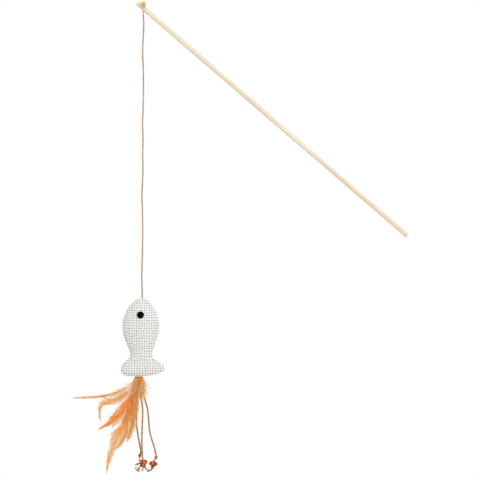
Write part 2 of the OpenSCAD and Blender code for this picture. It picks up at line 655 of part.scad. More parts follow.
module bell_pellet() { color([0.5, 0.5, 0.5]) translate(pellet_pt) sphere(d = pellet_d); }

dowel();
tip_knot();
line_upper();
line_lower();
line_end();
nose_knot();
fish_front();
fish_back();
fish_stuffing();
seam_thread();
eye_front();
eye_back();
eye_washer_front();
eye_washer_back();
tail_anchor();
feather_root();
binding_thread();
feather_1();
feather_2();
feather_3();
feather_4();
feather_5();
feather_6();
feather_7();
down_feather();
bell_cord_top();
middle_cord_top();
right_cord_top();
bell_cord();
middle_cord();
right_cord();
bell_knot();
bell_bight();
middle_bead();
middle_knot();
right_bead();
right_upper_knot();
right_knot();
bell_loop();
bell_upper();
bell_lower();
bell_pellet();
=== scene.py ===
# Cat teaser wand: a wooden dowel, a twine line, a stuffed woven fish, dyed feathers,
# and three tail cords with two beads and a jingle bell. Metres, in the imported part's frame.
import math
import random

import bmesh
import bpy
from mathutils import Matrix, Vector, noise


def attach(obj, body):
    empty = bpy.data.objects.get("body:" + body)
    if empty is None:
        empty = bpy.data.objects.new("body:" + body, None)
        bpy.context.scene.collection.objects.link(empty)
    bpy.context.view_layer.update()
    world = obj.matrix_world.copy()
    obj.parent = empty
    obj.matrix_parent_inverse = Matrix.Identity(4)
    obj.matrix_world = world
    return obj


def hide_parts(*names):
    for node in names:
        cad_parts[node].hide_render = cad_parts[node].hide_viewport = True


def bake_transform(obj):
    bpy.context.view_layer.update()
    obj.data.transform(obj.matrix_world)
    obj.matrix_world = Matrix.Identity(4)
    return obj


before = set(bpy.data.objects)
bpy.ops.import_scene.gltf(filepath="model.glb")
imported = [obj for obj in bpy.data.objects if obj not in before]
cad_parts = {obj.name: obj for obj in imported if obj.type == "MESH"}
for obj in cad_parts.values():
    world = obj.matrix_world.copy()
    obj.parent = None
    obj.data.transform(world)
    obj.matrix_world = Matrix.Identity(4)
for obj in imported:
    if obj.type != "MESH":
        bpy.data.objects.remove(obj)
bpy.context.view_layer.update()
mm = 0.001


# The photographer's view: square on to the wand from the front, with a long lens, so that
# the whole wand fills the square frame. Nothing is tilted.
frame_width = 0.5384
frame_x, frame_z = -0.150, -0.0372
camera_back = 3.0
view = bpy.data.cameras.new("camera")
view.lens = view.sensor_width * camera_back / frame_width
view.clip_end = 20
camera = bpy.data.objects.new("camera", view)
camera.location = (frame_x, -camera_back, frame_z)
camera.rotation_euler = (math.radians(90), 0, 0)
bpy.context.scene.collection.objects.link(camera)
bpy.context.scene.camera = camera
bpy.context.scene.view_settings.view_transform = "Standard"


# The line: thin three-ply jute twine that hangs from the dowel's tip to the fish's nose. It is
# laid up from three yarns, so a lobed ring is drawn along its route and turned as it goes.
def smooth_route(points, step):
    """Evenly spaced points on one smooth curve through the hand-set ones."""
    p = [2 * points[0] - points[1]] + list(points) + [2 * points[-1] - points[-2]]
    fine = [points[0]]
    for a, b, c, d in zip(p, p[1:], p[2:], p[3:]):
        k1 = (b - a).length ** 0.5
        k2 = k1 + (c - b).length ** 0.5
        k3 = k2 + (d - c).length ** 0.5
        count = max(2, round((c - b).length / step))
        for i in range(1, count + 1):
            t = k1 + (k2 - k1) * i / count
            near, far = (t - k1) / (k2 - k1), (t - k1) / (k3 - k1)
            ab = a.lerp(b, t / k1)
            bc = b.lerp(c, near)
            cd = c.lerp(d, (t - k2) / (k3 - k2))
            fine.append(ab.lerp(bc, t / k2).lerp(bc.lerp(cd, far), near))
    return fine


def draw_strand(bm, points, radius, plies=3, pitch=5 * mm, sides=12):
    """Draws a lobed ring along the points, in one radius or in one for each point. Every ring
    carries its turn and its place along the strand, for the fibres' pattern."""
    radii = radius if isinstance(radius, list) else [radius] * len(points)
    fibre = bm.verts.layers.float_vector.get("fibre") or bm.verts.layers.float_vector.new("fibre")
    made = bmesh.ops.create_circle(bm, cap_ends=True, segments=sides, radius=1)["verts"]
    for v in made:
        turn = math.atan2(v.co.y, v.co.x)
        lobe = 1 if plies < 2 else 0.8 + 0.2 * abs(math.cos(plies * turn / 2)) ** 0.7
        v[fibre] = (math.cos(turn), math.sin(turn), 0)
        v.co = Vector((v.co.x * lobe, v.co.y * lobe, 0))
    edges = list({e for v in made for e in v.link_edges})
    heading = (points[1] - points[0]).normalized()
    side = heading.orthogonal().normalized()
    before = Matrix.Identity(4)
    run = 0.0
    for i, p in enumerate(points):
        ahead = (points[min(i + 1, len(points) - 1)] - points[max(i - 1, 0)]).normalized()
        side = heading.rotation_difference(ahead) @ side
        side = (side - side.dot(ahead) * ahead).normalized()
        heading = ahead
        if i:
            run += (p - points[i - 1]).length
            grown = bmesh.ops.extrude_edge_only(bm, edges=edges)["geom"]
            made = [g for g in grown if isinstance(g, bmesh.types.BMVert)]
            edges = [g for g in grown if isinstance(g, bmesh.types.BMEdge)]
            for v in made:
                v[fibre] = (v[fibre].x, v[fibre].y, run)
        across = heading.cross(side)
        place = Matrix((side, across, heading)).transposed().to_4x4()
        place.translation = p
        place = place @ Matrix.Rotation(2 * math.pi * run / pitch, 4, "Z") @ Matrix.Scale(radii[i], 4)
        bmesh.ops.transform(bm, matrix=place @ before.inverted(), verts=made)
        before = place
    bmesh.ops.contextual_create(bm, geom=edges)


def as_object(bm, name, *materials, smooth=True):
    """A mesh object of the bmesh as it stands."""
    mesh = bpy.data.meshes.new(name)
    bm.to_mesh(mesh)
    bm.free()
    for m in materials:
        mesh.materials.append(m)
    for face in mesh.polygons:
        face.use_smooth = smooth
    made = bpy.data.objects.new(name, mesh)
    bpy.context.scene.collection.objects.link(made)
    return made


def finished(bm, name, *materials, smooth=True):
    """A mesh object of the bmesh, with its normals outward."""
    bmesh.ops.recalc_face_normals(bm, faces=bm.faces)
    return as_object(bm, name, *materials, smooth=smooth)


def colour(*shown):
    """A colour as a picture shows it, 0 to 255, in the renderer's own values."""
    return tuple(c / 255 / 12.92 if c < 10.3 else ((c / 255 + 0.055) / 1.055) ** 2.4 for c in shown) + (1,)


class Nodes:
    """A node tree, put together one node after the other."""

    def __init__(self, tree):
        self.tree = tree

    def node(self, kind, settings=(), **links):
        made = self.tree.nodes.new("ShaderNode" + kind)
        for key, value in dict(settings).items():
            setattr(made, key, value)
        for key, value in links.items():
            self.set(made, key.replace("_", " "), value)
        return made

    def set(self, made, socket, value):
        """Links or sets a socket, which goes by its name or, as n0 or n1, by its number."""
        socket = made.inputs[int(socket[1:]) if socket[1:].isdigit() else socket]
        if isinstance(value, bpy.types.NodeSocket):
            self.tree.links.new(value, socket)
        else:
            socket.default_value = value

    def calc(self, operation, *values):
        """The result of one sum."""
        numbered = {f"n{i}": value for i, value in enumerate(values)}
        return self.node("Math", {"operation": operation}, **numbered).outputs[0]


class Finish(Nodes):
    """A material: its shader, and the patterns that feed it."""

    def __init__(self, name, **shader):
        self.material = bpy.data.materials.new(name)
        self.material.use_nodes = True
        super().__init__(self.material.node_tree)
        self.shader = self.tree.nodes["Principled BSDF"]
        for key, value in shader.items():
            self.set(self.shader, key.replace("_", " "), value)

    def object_place(self):
        return self.node("TexCoord").outputs["Object"]

    def attribute(self, name):
        return self.node("Attribute", {"attribute_name": name}).outputs["Vector"]

    def noise(self, place, stretch=None, turn=(0, 0, 0), **settings):
        """A noise pattern, which a stretch draws out along one axis."""
        if stretch:
            place = self.node("Mapping", Vector=place, Rotation=turn, Scale=stretch).outputs[0]
        return self.node("TexNoise", Vector=place, **settings).outputs["Fac"]

    def span(self, value, low, high, first=0.0, last=1.0, kind="LINEAR"):
        """Goes from the first value to the last one while the input goes from low to high."""
        return self.node("MapRange", {"interpolation_type": kind}, Value=value, From_Min=low, From_Max=high,
            To_Min=first, To_Max=last).outputs[0]

    def ramp(self, value, *stops):
        made = self.node("ValToRGB", Fac=value)
        while len(made.color_ramp.elements) < len(stops):
            made.color_ramp.elements.new(0.5)
        for element, (place, tint) in zip(made.color_ramp.elements, stops):
            element.position = place
            element.color = tint
        return made.outputs["Color"]

    def blend(self, share, a, b):
        return self.node("Mix", {"data_type": "RGBA"}, n0=share, n6=a, n7=b).outputs[2]

    def paint(self, tint):
        self.set(self.shader, "Base Color", tint)

    def bump(self, height, strength, distance):
        made = self.node("Bump", Height=height, Strength=strength, Distance=distance)
        self.set(self.shader, "Normal", made.outputs[0])


def twine_finish(name, dark, middle, light, scale=1.0):
    """Yarn: long fibres that follow the lay, with paler and darker stretches."""
    f = Finish(name, Roughness=0.86, Sheen_Weight=0.25, Sheen_Roughness=0.5)
    lay = f.attribute("fibre")
    fibres = f.noise(lay, (3.5 * scale, 3.5 * scale, 420), Scale=2.0, Detail=5.0, Roughness=0.65)
    stretch = f.noise(lay, (0.4, 0.4, 90), Scale=1.0, Detail=2.0)
    mixed = f.calc("MULTIPLY_ADD", stretch, 0.5, f.calc("MULTIPLY", fibres, 0.5))
    f.paint(f.ramp(mixed, (0.32, dark), (0.5, middle), (0.66, light)))
    f.bump(fibres, 0.6, 0.00025)
    return f.material


jute = twine_finish("jute_twine", colour(140, 102, 68), colour(190, 150, 110), colour(220, 190, 152))

twine_r = 0.9 * mm
twine_lay = 4.6 * mm
line_top = Vector((-0.258633, 0.003148, 0.216192))
line_points = [(0, 0, 0), (0.2, 0, -4), (0.5, 0.1, -10), (0.3, 0.2, -20), (-0.4, 0.1, -34), (-0.6, -0.1, -44),
    (0, -0.2, -60), (0.2, 0, -88), (-0.2, 0.2, -106), (-0.8, 0.1, -124), (-0.3, -0.1, -138),
    (-0.5, 0, -152), (-0.6, 0, -157), (-0.6, 0, -160), (-0.6, 0, -163), (-0.3, 0.1, -172),
    (-0.8, 0.2, -188), (-1.5, 0.1, -204), (-1, -0.1, -218), (-0.6, -0.2, -246), (-0.9, -0.1, -266),
    (-1.6, 0, -290), (-1.5, 0, -302), (-1.3, 0, -307), (-1.2, 0, -310)]
line_route = smooth_route([line_top + Vector(p) * mm for p in line_points], 0.7 * mm)
bm = bmesh.new()
draw_strand(bm, line_route, twine_r, pitch=twine_lay)
line = finished(bm, "twine_line", jute)
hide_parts("line_upper", "line_lower")
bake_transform(line)

# The last stretch of the line, which twists under the rest, down into the gathered nose.
nose_pivot = Vector((-0.259833, 0.003148, -0.101808))
foot_route = smooth_route([nose_pivot + Vector((0, 0, z)) * mm for z in (8, 5, 2, 0, -0.8)], 0.5 * mm)
bm = bmesh.new()
draw_strand(bm, foot_route, twine_r, pitch=twine_lay)
line_foot = finished(bm, "twine_line_foot", jute)
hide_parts("line_end")
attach(line_foot, "line_end_body")


# The tail cords: brown waxed cord, bound in under the tail with the feathers' butts. Each hangs free
# from there.
root = Vector((-0.264033, 0.003148, -0.193558))
tail_r = 1.0 * mm
waxed = twine_finish("waxed_cord", colour(110, 68, 38), colour(172, 124, 78), colour(210, 168, 124))


def tail_cord(name, top, free, nodes, end=()):
    """One tail cord from the binding to its knot."""
    route = smooth_route([root + Vector(p) * mm for p in top + free] + list(end), 0.7 * mm)
    bm = bmesh.new()
    draw_strand(bm, route, tail_r, plies=2, pitch=7 * mm)
    cord = finished(bm, name, waxed)
    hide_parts(*nodes)
    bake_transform(cord)
    return cord, route


bead_end = 2.55 * mm
middle_bead_at = root + Vector((5.5, -2.6, -93.2)) * mm
middle_bead_run = Vector((0.24, 0.28, -0.93)).normalized()
right_bead_at = root + Vector((16.5, 1.5, -94.9)) * mm
right_bead_run = Vector((-0.18, 0, -0.98)).normalized()
bell_hang = root + Vector((1.1, 6.5, -92.2)) * mm

bell_cord, bell_route = tail_cord("bell_tail_cord",
    [(-1, 2.9, 0), (-1.2, 2.9, -3), (-1.4, 3, -8), (-1.5, 3, -14), (-1.4, 3, -22.5)],
    [(-1.5, 3, -26), (-2, 3.2, -34), (-2.4, 3.5, -42), (-2.2, 3.9, -50), (-1.3, 4.4, -59), (0.1, 5, -68),
        (1.8, 5.7, -77), (2.4, 6.1, -81), (1.7, 6.4, -84.8)],
    ("bell_cord_top", "bell_cord"))
middle_cord, middle_route = tail_cord("middle_tail_cord",
    [(0, 1.35, 0), (0.3, 1.4, -5), (1.2, 1.4, -12), (2.4, 1.4, -18), (3.2, 1.4, -22.5)],
    [(3.9, 1.3, -27), (4.6, 1, -33), (4.7, 0.6, -40), (4.4, -0.3, -50), (4, -1.3, -62), (3.9, -2.3, -72),
        (4.2, -3.3, -80), (4.6, -3.8, -86.5)],
    ("middle_cord_top", "middle_cord"),
    end=[middle_bead_at + s * bead_end * middle_bead_run for s in (-1, 1)])
right_cord, right_route = tail_cord("right_tail_cord",
    [(1, 2.9, 0), (1.6, 2.9, -4), (3, 3, -10), (5, 3, -16), (7.2, 3, -22.5)],
    [(8.4, 2.9, -27), (9.8, 2.7, -32), (10.9, 2.5, -40), (11.6, 2.3, -49), (12.4, 2.1, -58), (14.4, 1.9, -66),
        (17, 1.7, -74), (18.9, 1.6, -81), (19.6, 1.5, -85.5), (19.9, 1.5, -88), (18.6, 1.5, -90.4)],
    ("right_cord_top", "right_cord"),
    end=[right_bead_at + s * bead_end * right_bead_run for s in (-1, 1)])


# The knots on the tail cords: an overhand knot above the bell, one above the right bead, and a
# stopper knot with a cut tail under each bead. All are tied in the cords themselves. Under its knot
# the bell's cord turns back in a bight, for the bell to hang in.
def knot_points(centre, axis, width, height, r, last=2 * math.pi - 0.3):
    """The run of an overhand knot: three lobes about its axis."""
    axis = axis.normalized()
    side = axis.orthogonal().normalized()
    across = axis.cross(side)
    out = (width / 2 - r) / 3
    rise = max(height / 2 - r, 0.3 * r)
    first, steps = 0.3, 36
    run = []
    for i in range(steps + 1):
        t = first + (last - first) * i / steps
        run.append(centre + out * (math.sin(t) + 2 * math.sin(2 * t)) * side
            + out * (math.cos(t) - 2 * math.cos(2 * t)) * across - rise * math.sin(3 * t) * axis)
    return run


def tied_knot(name, node, body, material, centre, axis, width, height, r, before=(), tail=()):
    """A knot with the cord running into it. Its cut tail, if it has one, ends in loose fibres."""
    bm = bmesh.new()
    points = [*before, *knot_points(centre, axis, width, height, r), *tail]
    draw_strand(bm, smooth_route(points, 0.35 * mm), r, plies=2, pitch=5 * mm, sides=10)
    loose_fibres = 16 if tail else 0
    for _ in range(loose_fibres):
        way = (points[-1] - points[-2]).normalized()
        spread = Vector([random.uniform(-0.6, 0.6) for _ in range(3)])
        reach = random.uniform(1, 2.2)
        fibre = [points[-1] + (a * way + b * spread) * mm for a, b in ((-0.8, 0.8), (0.5, 1), (reach, 2))]
        draw_strand(bm, fibre, 0.17 * mm, plies=1, sides=4)
    knot = finished(bm, name, material)
    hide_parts(node)
    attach(knot, body)
    return knot


random.seed(12)
down = Vector((0, 0, -1))
bight_top = bell_hang + Vector((0, 0, 4.6 * mm))
bell_knot = tied_knot("bell_knot_tied", "bell_knot", "bell_cord_body", waxed,
    (bell_route[-1] + bight_top) / 2, down, width=4.4 * mm, height=3.4 * mm, r=0.75 * mm)
bight_r = 2.0
bight = [bell_hang + Vector((0, bight_r * math.sin(a), bight_r + bight_r * math.cos(a))) * mm
    for a in (math.radians(15 * i + 4) for i in range(24))]
bm = bmesh.new()
draw_strand(bm, bight, 0.6 * mm, plies=2, pitch=4 * mm, sides=10)
bell_bight = finished(bm, "bell_bight_loop", waxed)
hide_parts("bell_bight")
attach(bell_bight, "bell_cord_body")

upper_knot = tied_knot("right_knot_above_bead", "right_upper_knot", "right_cord_body", waxed,
    root + Vector((19.9, 1.5, -87.6)) * mm, Vector((-0.1, 0, -1)), width=4.4 * mm, height=3 * mm, r=0.8 * mm)
golden = twine_finish("waxed_cord_ends", colour(124, 66, 24), colour(192, 122, 58), colour(232, 178, 112))
knot_drop = 1.7 * mm


def bead_knot(name, node, body, at, run, tail):
    """The stopper knot under a bead, with its cut tail."""
    foot = at + bead_end * run
    return tied_knot(name, node, body, golden, foot + knot_drop * run, run, width=4.8 * mm, height=4 * mm,
        r=0.88 * mm, tail=[foot + Vector(p) * mm for p in tail])


middle_knot = bead_knot("middle_knot_below_bead", "middle_knot", "middle_cord_body", middle_bead_at,
    middle_bead_run, ((1.6, 0.9, -3.2), (2.4, 0.9, -4.6), (4.4, 0.9, -6.2)))
right_knot = bead_knot("right_knot_below_bead", "right_knot", "right_cord_body", right_bead_at,
    right_bead_run, ((-0.9, 0, -3.2), (-1.6, 0, -4.4), (-4.2, 0, -5.2)))


# The dowel: a straight rod of pale birch, 400 mm by 5 mm, with its ends lightly chamfered. Its
# grain runs along it, with fine dark pores and a slow change from pale to warm.
def dress(node, material):
    """Gives a CAD node this material."""
    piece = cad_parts[node]
    piece.data.materials.clear()
    piece.data.materials.append(material)


birch = Finish("birch_dowel", Roughness=0.52, Specular_IOR_Level=0.35)
dowel_lean = math.radians(-40.75)
along = birch.node("VectorRotate", {"rotation_type": "Y_AXIS"}, Vector=birch.object_place(),
    Angle=dowel_lean).outputs[0]
grain = birch.noise(along, (9, 900, 900), Scale=1.0, Detail=6.0, Roughness=0.6, Distortion=0.3)
pores = birch.noise(along, (60, 3200, 3200), Scale=1.0, Detail=3.0)
slow = birch.noise(along, (14, 120, 120), Scale=1.0, Detail=2.0)
wood = birch.ramp(grain, (0.3, colour(212, 188, 158)), (0.5, colour(230, 213, 189)),
    (0.68, colour(240, 229, 212)))
wood = birch.blend(birch.span(slow, 0.42, 0.62), wood, colour(224, 204, 178))
wood = birch.blend(birch.span(pores, 0.64, 0.74, last=0.45), wood, colour(176, 140, 102))
birch.paint(wood)
birch.bump(grain, 0.25, 0.00015)
dress("dowel", birch.material)


# The stopper knot at the tip: the line's own end, drawn up through the cross hole and tied off
# on the front of the dowel, with its cut end tucked beside it.
hole = Vector((-0.258633, 0, 0.222852))
hole_lean = math.radians(44)
out_dir = Vector((0, math.sin(hole_lean), -math.cos(hole_lean)))
hole_half, knot_half = 2.83, 2.6
knot_centre = hole - (hole_half + knot_half) * mm * out_dir
tip_route = knot_points(knot_centre, out_dir, 7.4 * mm, 5.4 * mm, twine_r, last=2 * math.pi - 0.5)
tip_route += [hole - 2.3 * mm * out_dir, hole, hole + 3 * mm * out_dir, hole + Vector((0, 3.0, -3.4)) * mm,
    line_top + Vector((0, 0, 1.6)) * mm, line_top + Vector((0, 0, -0.5)) * mm]
cut_end = [knot_centre + Vector(p) * mm for p in ((0.4, 0.2, 1.0), (1.2, -0.4, 2.2), (2.2, -0.9, 2.9))]
bm = bmesh.new()
draw_strand(bm, smooth_route(tip_route, 0.5 * mm), twine_r * 0.98, pitch=twine_lay)
draw_strand(bm, smooth_route(cut_end, 0.5 * mm), twine_r * 0.8, pitch=twine_lay)
# Painted light: the knot and its cut end are the same jute as the line, in a lighter copy that offsets the
# shade in the knot's crevices.
lit_jute_copy = twine_finish("lit_copy_of_jute_twine", colour(220, 156, 92), colour(244, 188, 120),
    colour(253, 218, 168))
tip_knot = finished(bm, "tip_knot_tied", lit_jute_copy)
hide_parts("tip_knot")
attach(tip_knot, "wand")


# The fish: two panels of coarse white basket cloth, sewn face to face round their edges, turned out
# and stuffed hard. Every yarn goes over and under its neighbours and leaves a small gap at each corner.
# A station is the drop from the nose, the half widths to the left and right, and the half depth.
fish_top = nose_pivot + Vector((0, 0, -1.1)) * mm
body_long, body_half, body_deep = 62, 21, 12
tail_long, tail_half, tail_deep = 25, 25, 6
stations = [(0, 2, 2, 2)]
stations += [(body_long * s, body_half * a, body_half * b, body_deep * c) for s, a, b, c in (
    (0.01, 0.27, 0.2, 0.3), (0.045, 0.43, 0.36, 0.46), (0.1, 0.59, 0.48, 0.6), (0.17, 0.76, 0.62, 0.75),
    (0.26, 0.9, 0.75, 0.88), (0.36, 1.01, 0.86, 0.97), (0.46, 1.07, 0.92, 1), (0.57, 1.06, 0.92, 0.98),
    (0.68, 1, 0.83, 0.92), (0.78, 0.89, 0.74, 0.84), (0.89, 0.76, 0.64, 0.73))]
stations += [(body_long, 13.63, 11.38, 7.5)]
stations += [(body_long + tail_long * s, tail_half * a, tail_half * b, tail_deep * c) for s, a, b, c in (
    (0.2, 0.6, 0.52, 1.16), (0.33, 0.79, 0.71, 1.08), (0.47, 0.9, 0.92, 1.03), (0.61, 0.96, 1.02, 1),
    (0.74, 0.98, 1, 0.94), (0.86, 0.94, 0.84, 0.8), (0.95, 0.85, 0.52, 0.58))]
stations += [(body_long + tail_long, 18.75, 7, 2)]
profile = smooth_route([Vector(s) for s in stations], 0.12)
runs = [0.0]
for a, b in zip(profile, profile[1:]):
    runs.append(runs[-1] + math.hypot(b[0] - a[0], b[3] - a[3], 0.5 * (b[1] - a[1])))


def station(run):
    """The fish's drop, half widths and half depth at a length along its skin."""
    low, high = 0, len(runs) - 1
    while high - low > 1:
        half = (low + high) // 2
        if runs[half] <= run:
            low = half
        else:
            high = half
    share = (run - runs[low]) / (runs[high] - runs[low])
    return profile[low].lerp(profile[high], min(max(share, 0), 1))


yarn_pitch = 2.95
yarn_half = 0.43  # a share of the pitch
first_yarn = 40  # keeps the count of yarns above nought
seam_width = 1.2
pucker_pitch = 4.2
basket = Finish("white_basket_cloth", Roughness=0.9, Sheen_Weight=0.2, Sheen_Roughness=0.6)
weave = basket.attribute("weave")
parts = basket.node("SeparateXYZ", Vector=weave)


def yarn_edge(axis):
    """0 along the middle of a yarn, 0.5 in the gap beside it."""
    return basket.calc("ABSOLUTE", basket.calc("SUBTRACT", basket.calc("FRACT", parts.outputs[axis]), 0.5))


across_edge, along_edge = yarn_edge(0), yarn_edge(1)
# Painted shade: the yarns are painted darker towards their edges, and the gaps at their corners dark grey,
# for the shade between them.
gap = basket.span(basket.calc("MINIMUM", across_edge, along_edge), 0.27, 0.42, kind="SMOOTHSTEP")
shade = basket.span(basket.calc("MAXIMUM", across_edge, along_edge), 0.36, 0.5, kind="SMOOTHSTEP")
spun = basket.noise(weave, (9, 9, 9), Scale=1.0, Detail=4.0, Roughness=0.6)
white = basket.ramp(spun, (0.3, colour(222, 220, 218)), (0.55, colour(237, 236, 234)),
    (0.75, colour(249, 248, 247)))
white = basket.blend(basket.calc("MULTIPLY", shade, 0.8), white, colour(178, 176, 173))
basket.paint(basket.blend(gap, white, colour(122, 119, 116)))
basket.bump(spun, 0.5, 0.0002)


def yarn_top(off, over):
    """How high a yarn's round skin stands at this distance off its middle, and -1 beside it."""
    if abs(off) >= yarn_half:
        return -1
    return 0.5 * over + 0.8 * math.sqrt(max(0, 1 - (off / yarn_half) ** 2))


def cloth_panel(name, side, rows, columns):
    """One panel: a grid laid over the fish's form, with every yarn raised over and under."""
    bm = bmesh.new()
    bmesh.ops.create_grid(bm, x_segments=columns, y_segments=rows, size=1)
    lay = bm.verts.layers.float_vector.new("weave")
    lines = {}
    for v in bm.verts:
        lines.setdefault(round((1 - v.co.y) / 2 * rows), []).append(v)
    for row, verts in lines.items():
        run = runs[-1] * row / rows
        drop, left, right, deep = station(run)
        verts.sort(key=lambda v: v.co.x)
        spots = []
        for v in verts:
            turn = math.pi * (1 - v.co.x) / 2
            wide = right if v.co.x > 0 else left
            near_seam = math.exp(-((abs(v.co.x) - 1) / 0.05) ** 2)
            wide *= 1 - 0.035 * near_seam * (1 + math.sin(2 * math.pi * run / pucker_pitch))
            spots.append(Vector((math.cos(turn) * wide, side * math.sin(turn) * deep, -drop)))
        middle = len(spots) // 2
        arc = [0.0] * len(spots)
        for i in range(middle + 1, len(spots)):
            arc[i] = arc[i - 1] + (spots[i] - spots[i - 1]).length
        for i in range(middle - 1, -1, -1):
            arc[i] = arc[i + 1] - (spots[i] - spots[i + 1]).length
        for v, spot, u in zip(verts, spots, arc):
            sway = Vector((spot.x, side * 30, spot.z)) / 9
            drift = 0.34 * noise.noise(sway) + 0.16 * noise.noise(sway * 4)
            slip = 0.34 * noise.noise(sway * 1.3) + 0.16 * noise.noise(sway * 5)
            v[lay] = (u / yarn_pitch + first_yarn + drift, run / yarn_pitch + first_yarn + slip, 0)
            v.co = fish_top + spot * mm
    bmesh.ops.recalc_face_normals(bm, faces=bm.faces)
    bm.normal_update()
    cheek = fish_top + Vector((0, side * 12, -30)) * mm
    nearest = min(bm.faces, key=lambda f: (f.calc_center_median() - cheek).length)
    if nearest.normal.y * side <= 0:
        bmesh.ops.reverse_faces(bm, faces=bm.faces)
        bm.normal_update()
    lifts = []
    for v in bm.verts:
        u, w = v[lay].x, v[lay].y
        du, dw = u - math.floor(u) - 0.5, w - math.floor(w) - 0.5
        sign = 1 if (math.floor(u) + math.floor(w)) % 2 == 0 else -1
        warp = yarn_top(du, math.cos(math.pi * dw) * sign)
        weft = yarn_top(dw, -math.cos(math.pi * du) * sign)
        seam = max(0, 1 - abs(v.co.y - fish_top.y) / (seam_width * mm)) ** 0.7
        lifts.append((max(warp, weft, -0.7) - 1.0) * 0.3 * (1 - seam) - 0.25 * seam)
    for v, lift in zip(bm.verts, lifts):
        v.co += v.normal * lift * mm
    panel = as_object(bm, name, basket.material)
    shell = panel.modifiers.new("cloth", "SOLIDIFY")
    shell.thickness = 0.5 * mm
    shell.offset = -1
    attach(panel, "fish")
    return panel


rows, columns = ((230, 124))
front = cloth_panel("fish_front_cloth", -1, rows, columns)
back = cloth_panel("fish_back_cloth", 1, rows, columns)
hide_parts("fish_front")
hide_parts("fish_back")


# The fill: loose white fibre, packed hard inside the two panels. It shows only where a seam opens.
fluff = Finish("white_fill", Roughness=0.95)
tufts = fluff.noise(fluff.object_place(), Scale=420.0, Detail=5.0)
fluff.paint(fluff.ramp(tufts, (0.35, colour(222, 221, 218)), (0.6, colour(248, 248, 246))))
fluff.bump(tufts, 0.8, 0.0008)
side_room, depth_room = 2.4, 2.2
bm = bmesh.new()
bmesh.ops.create_uvsphere(bm, u_segments=40, v_segments=48, radius=1)
for v in bm.verts:
    share = math.acos(max(-1, min(1, v.co.z))) / math.pi
    drop, left, right, deep = station(runs[-1] * (0.06 + 0.88 * share))
    flat = math.hypot(v.co.x, v.co.y)
    x, y = (v.co.x / flat, v.co.y / flat) if flat > 1e-5 else (0, 0)
    wide = right if x > 0 else left
    tuft = 1 + 0.03 * noise.noise(Vector((x * 3, y * 3, drop / 4)))
    x, y = x * max(wide - side_room, 0) * tuft, y * max(deep - depth_room, 0) * tuft
    v.co = fish_top + Vector((x, y, -drop)) * mm
bmesh.ops.remove_doubles(bm, verts=bm.verts, dist=0.00001)
fill = finished(bm, "fish_fill", fluff.material)
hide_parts("fish_stuffing")
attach(fill, "fish")


# The seam: white thread through both panels' edges, in short stitches down each side.
seam_white = Finish("white_thread", Roughness=0.7)
twists = seam_white.noise(seam_white.object_place(), Scale=2500.0)
seam_white.paint(seam_white.ramp(twists, (0.3, colour(205, 202, 198)), (0.7, colour(244, 243, 240))))
stitch_count = 27
seam_inset = 0.75
stitch_run = runs[-1] / stitch_count
bm = bmesh.new()
for side in (-1, 1):
    for i in range(2, stitch_count):
        ends = []
        for step, y in ((0.1, -0.35), (0.5, 0.35)):
            drop, left, right, deep = station((i + step) * stitch_run)
            wide = right if side > 0 else left
            ends.append(fish_top + Vector((side * (wide - seam_inset), y, -drop)) * mm)
        lift = (ends[0] + ends[1]) / 2 + Vector((side * 0.3 * mm, 0, 0))
        draw_strand(bm, smooth_route([ends[0], lift, ends[1]], 0.4 * mm), 0.22 * mm, plies=1, sides=6)
stitches = finished(bm, "seam_stitches", seam_white.material)
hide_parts("seam_thread")
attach(stitches, "fish")


# The eyes: glossy black domed safety eyes, 8 mm across, one on each side. The shank goes through
# the cloth, and a white washer locks it inside.
def turned(outline, steps, closed=False):
    """A bmesh of an outline, in radius and height, turned once round its axis."""
    bm = bmesh.new()
    points = [bm.verts.new((x * mm, 0, z * mm)) for x, z in outline]
    after = points[1:] + (points[:1] if closed else [])
    chain = [bm.edges.new(pair) for pair in zip(points, after)]
    bmesh.ops.spin(bm, geom=points + chain, cent=(0, 0, 0), axis=(0, 0, 1), angle=2 * math.pi, steps=steps,
        use_merge=True)
    bmesh.ops.remove_doubles(bm, verts=bm.verts, dist=0.00001)
    return bm


eye_black = Finish("black_eye", Base_Color=colour(1, 1, 2), Specular_IOR_Level=0.03)
specks = eye_black.noise(eye_black.object_place(), Scale=900.0, Detail=3.0)
eye_black.set(eye_black.shader, "Roughness", eye_black.span(specks, 0, 1, 0.16, 0.3))
eye_outline = [(0, -4.4), (1.0, -4.4), (1.0, 0.02), (3.6, 0.02), (3.86, 0.1), (4.0, 0.36), (3.98, 0.55),
    (3.86, 0.75), (3.6, 0.92), (3.42, 0.98), (3.3, 0.97), (3.18, 1.06), (2.9, 1.25), (2.4, 1.48),
    (1.8, 1.66), (1.1, 1.76), (0.5, 1.8), (0, 1.81)]
eye_depth = 10.93
eye_lean = math.radians(11.2)
for side, node in ((-1, "eye_front"), (1, "eye_back")):
    bm = turned(eye_outline, 48)
    seat = Matrix.Translation(fish_top + Vector((-1.6, side * eye_depth, -18.2)) * mm)
    lean = Matrix.Rotation(-side * (math.pi / 2 - eye_lean), 4, "X")
    bmesh.ops.transform(bm, matrix=seat @ lean, verts=bm.verts)
    eye = finished(bm, node + "_dome", eye_black.material)
    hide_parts(node)
    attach(eye, "fish")
washer_white = Finish("washer_plastic_white", Roughness=0.45)
flow = washer_white.noise(washer_white.object_place(), Scale=300.0)
washer_white.paint(washer_white.ramp(flow, (0.3, colour(214, 213, 208)), (0.7, colour(226, 225, 220))))
dress("eye_washer_front", washer_white.material)
dress("eye_washer_back", washer_white.material)


# The knots inside the nose and the tail: the line's lower end, and the strand that carries the
# feathers' root. Both are the same jute as the line.
for node, start, way, at, width, height, r, before in (
        ("nose_knot", nose_pivot, down, -8.2, 6, 5.6, twine_r, (-1.0, -3.0, -4.8)),
        ("tail_anchor", root, -down, 9.4, 4.6, 4.4, 0.8 * twine_r, (3.3, 5.0, 6.6))):
    tied_knot(node + "_tied", node, "fish", jute, start + Vector((0, 0, at)) * mm, way, width * mm,
        height * mm, r, before=[start + Vector((0, 0, z)) * mm for z in before])


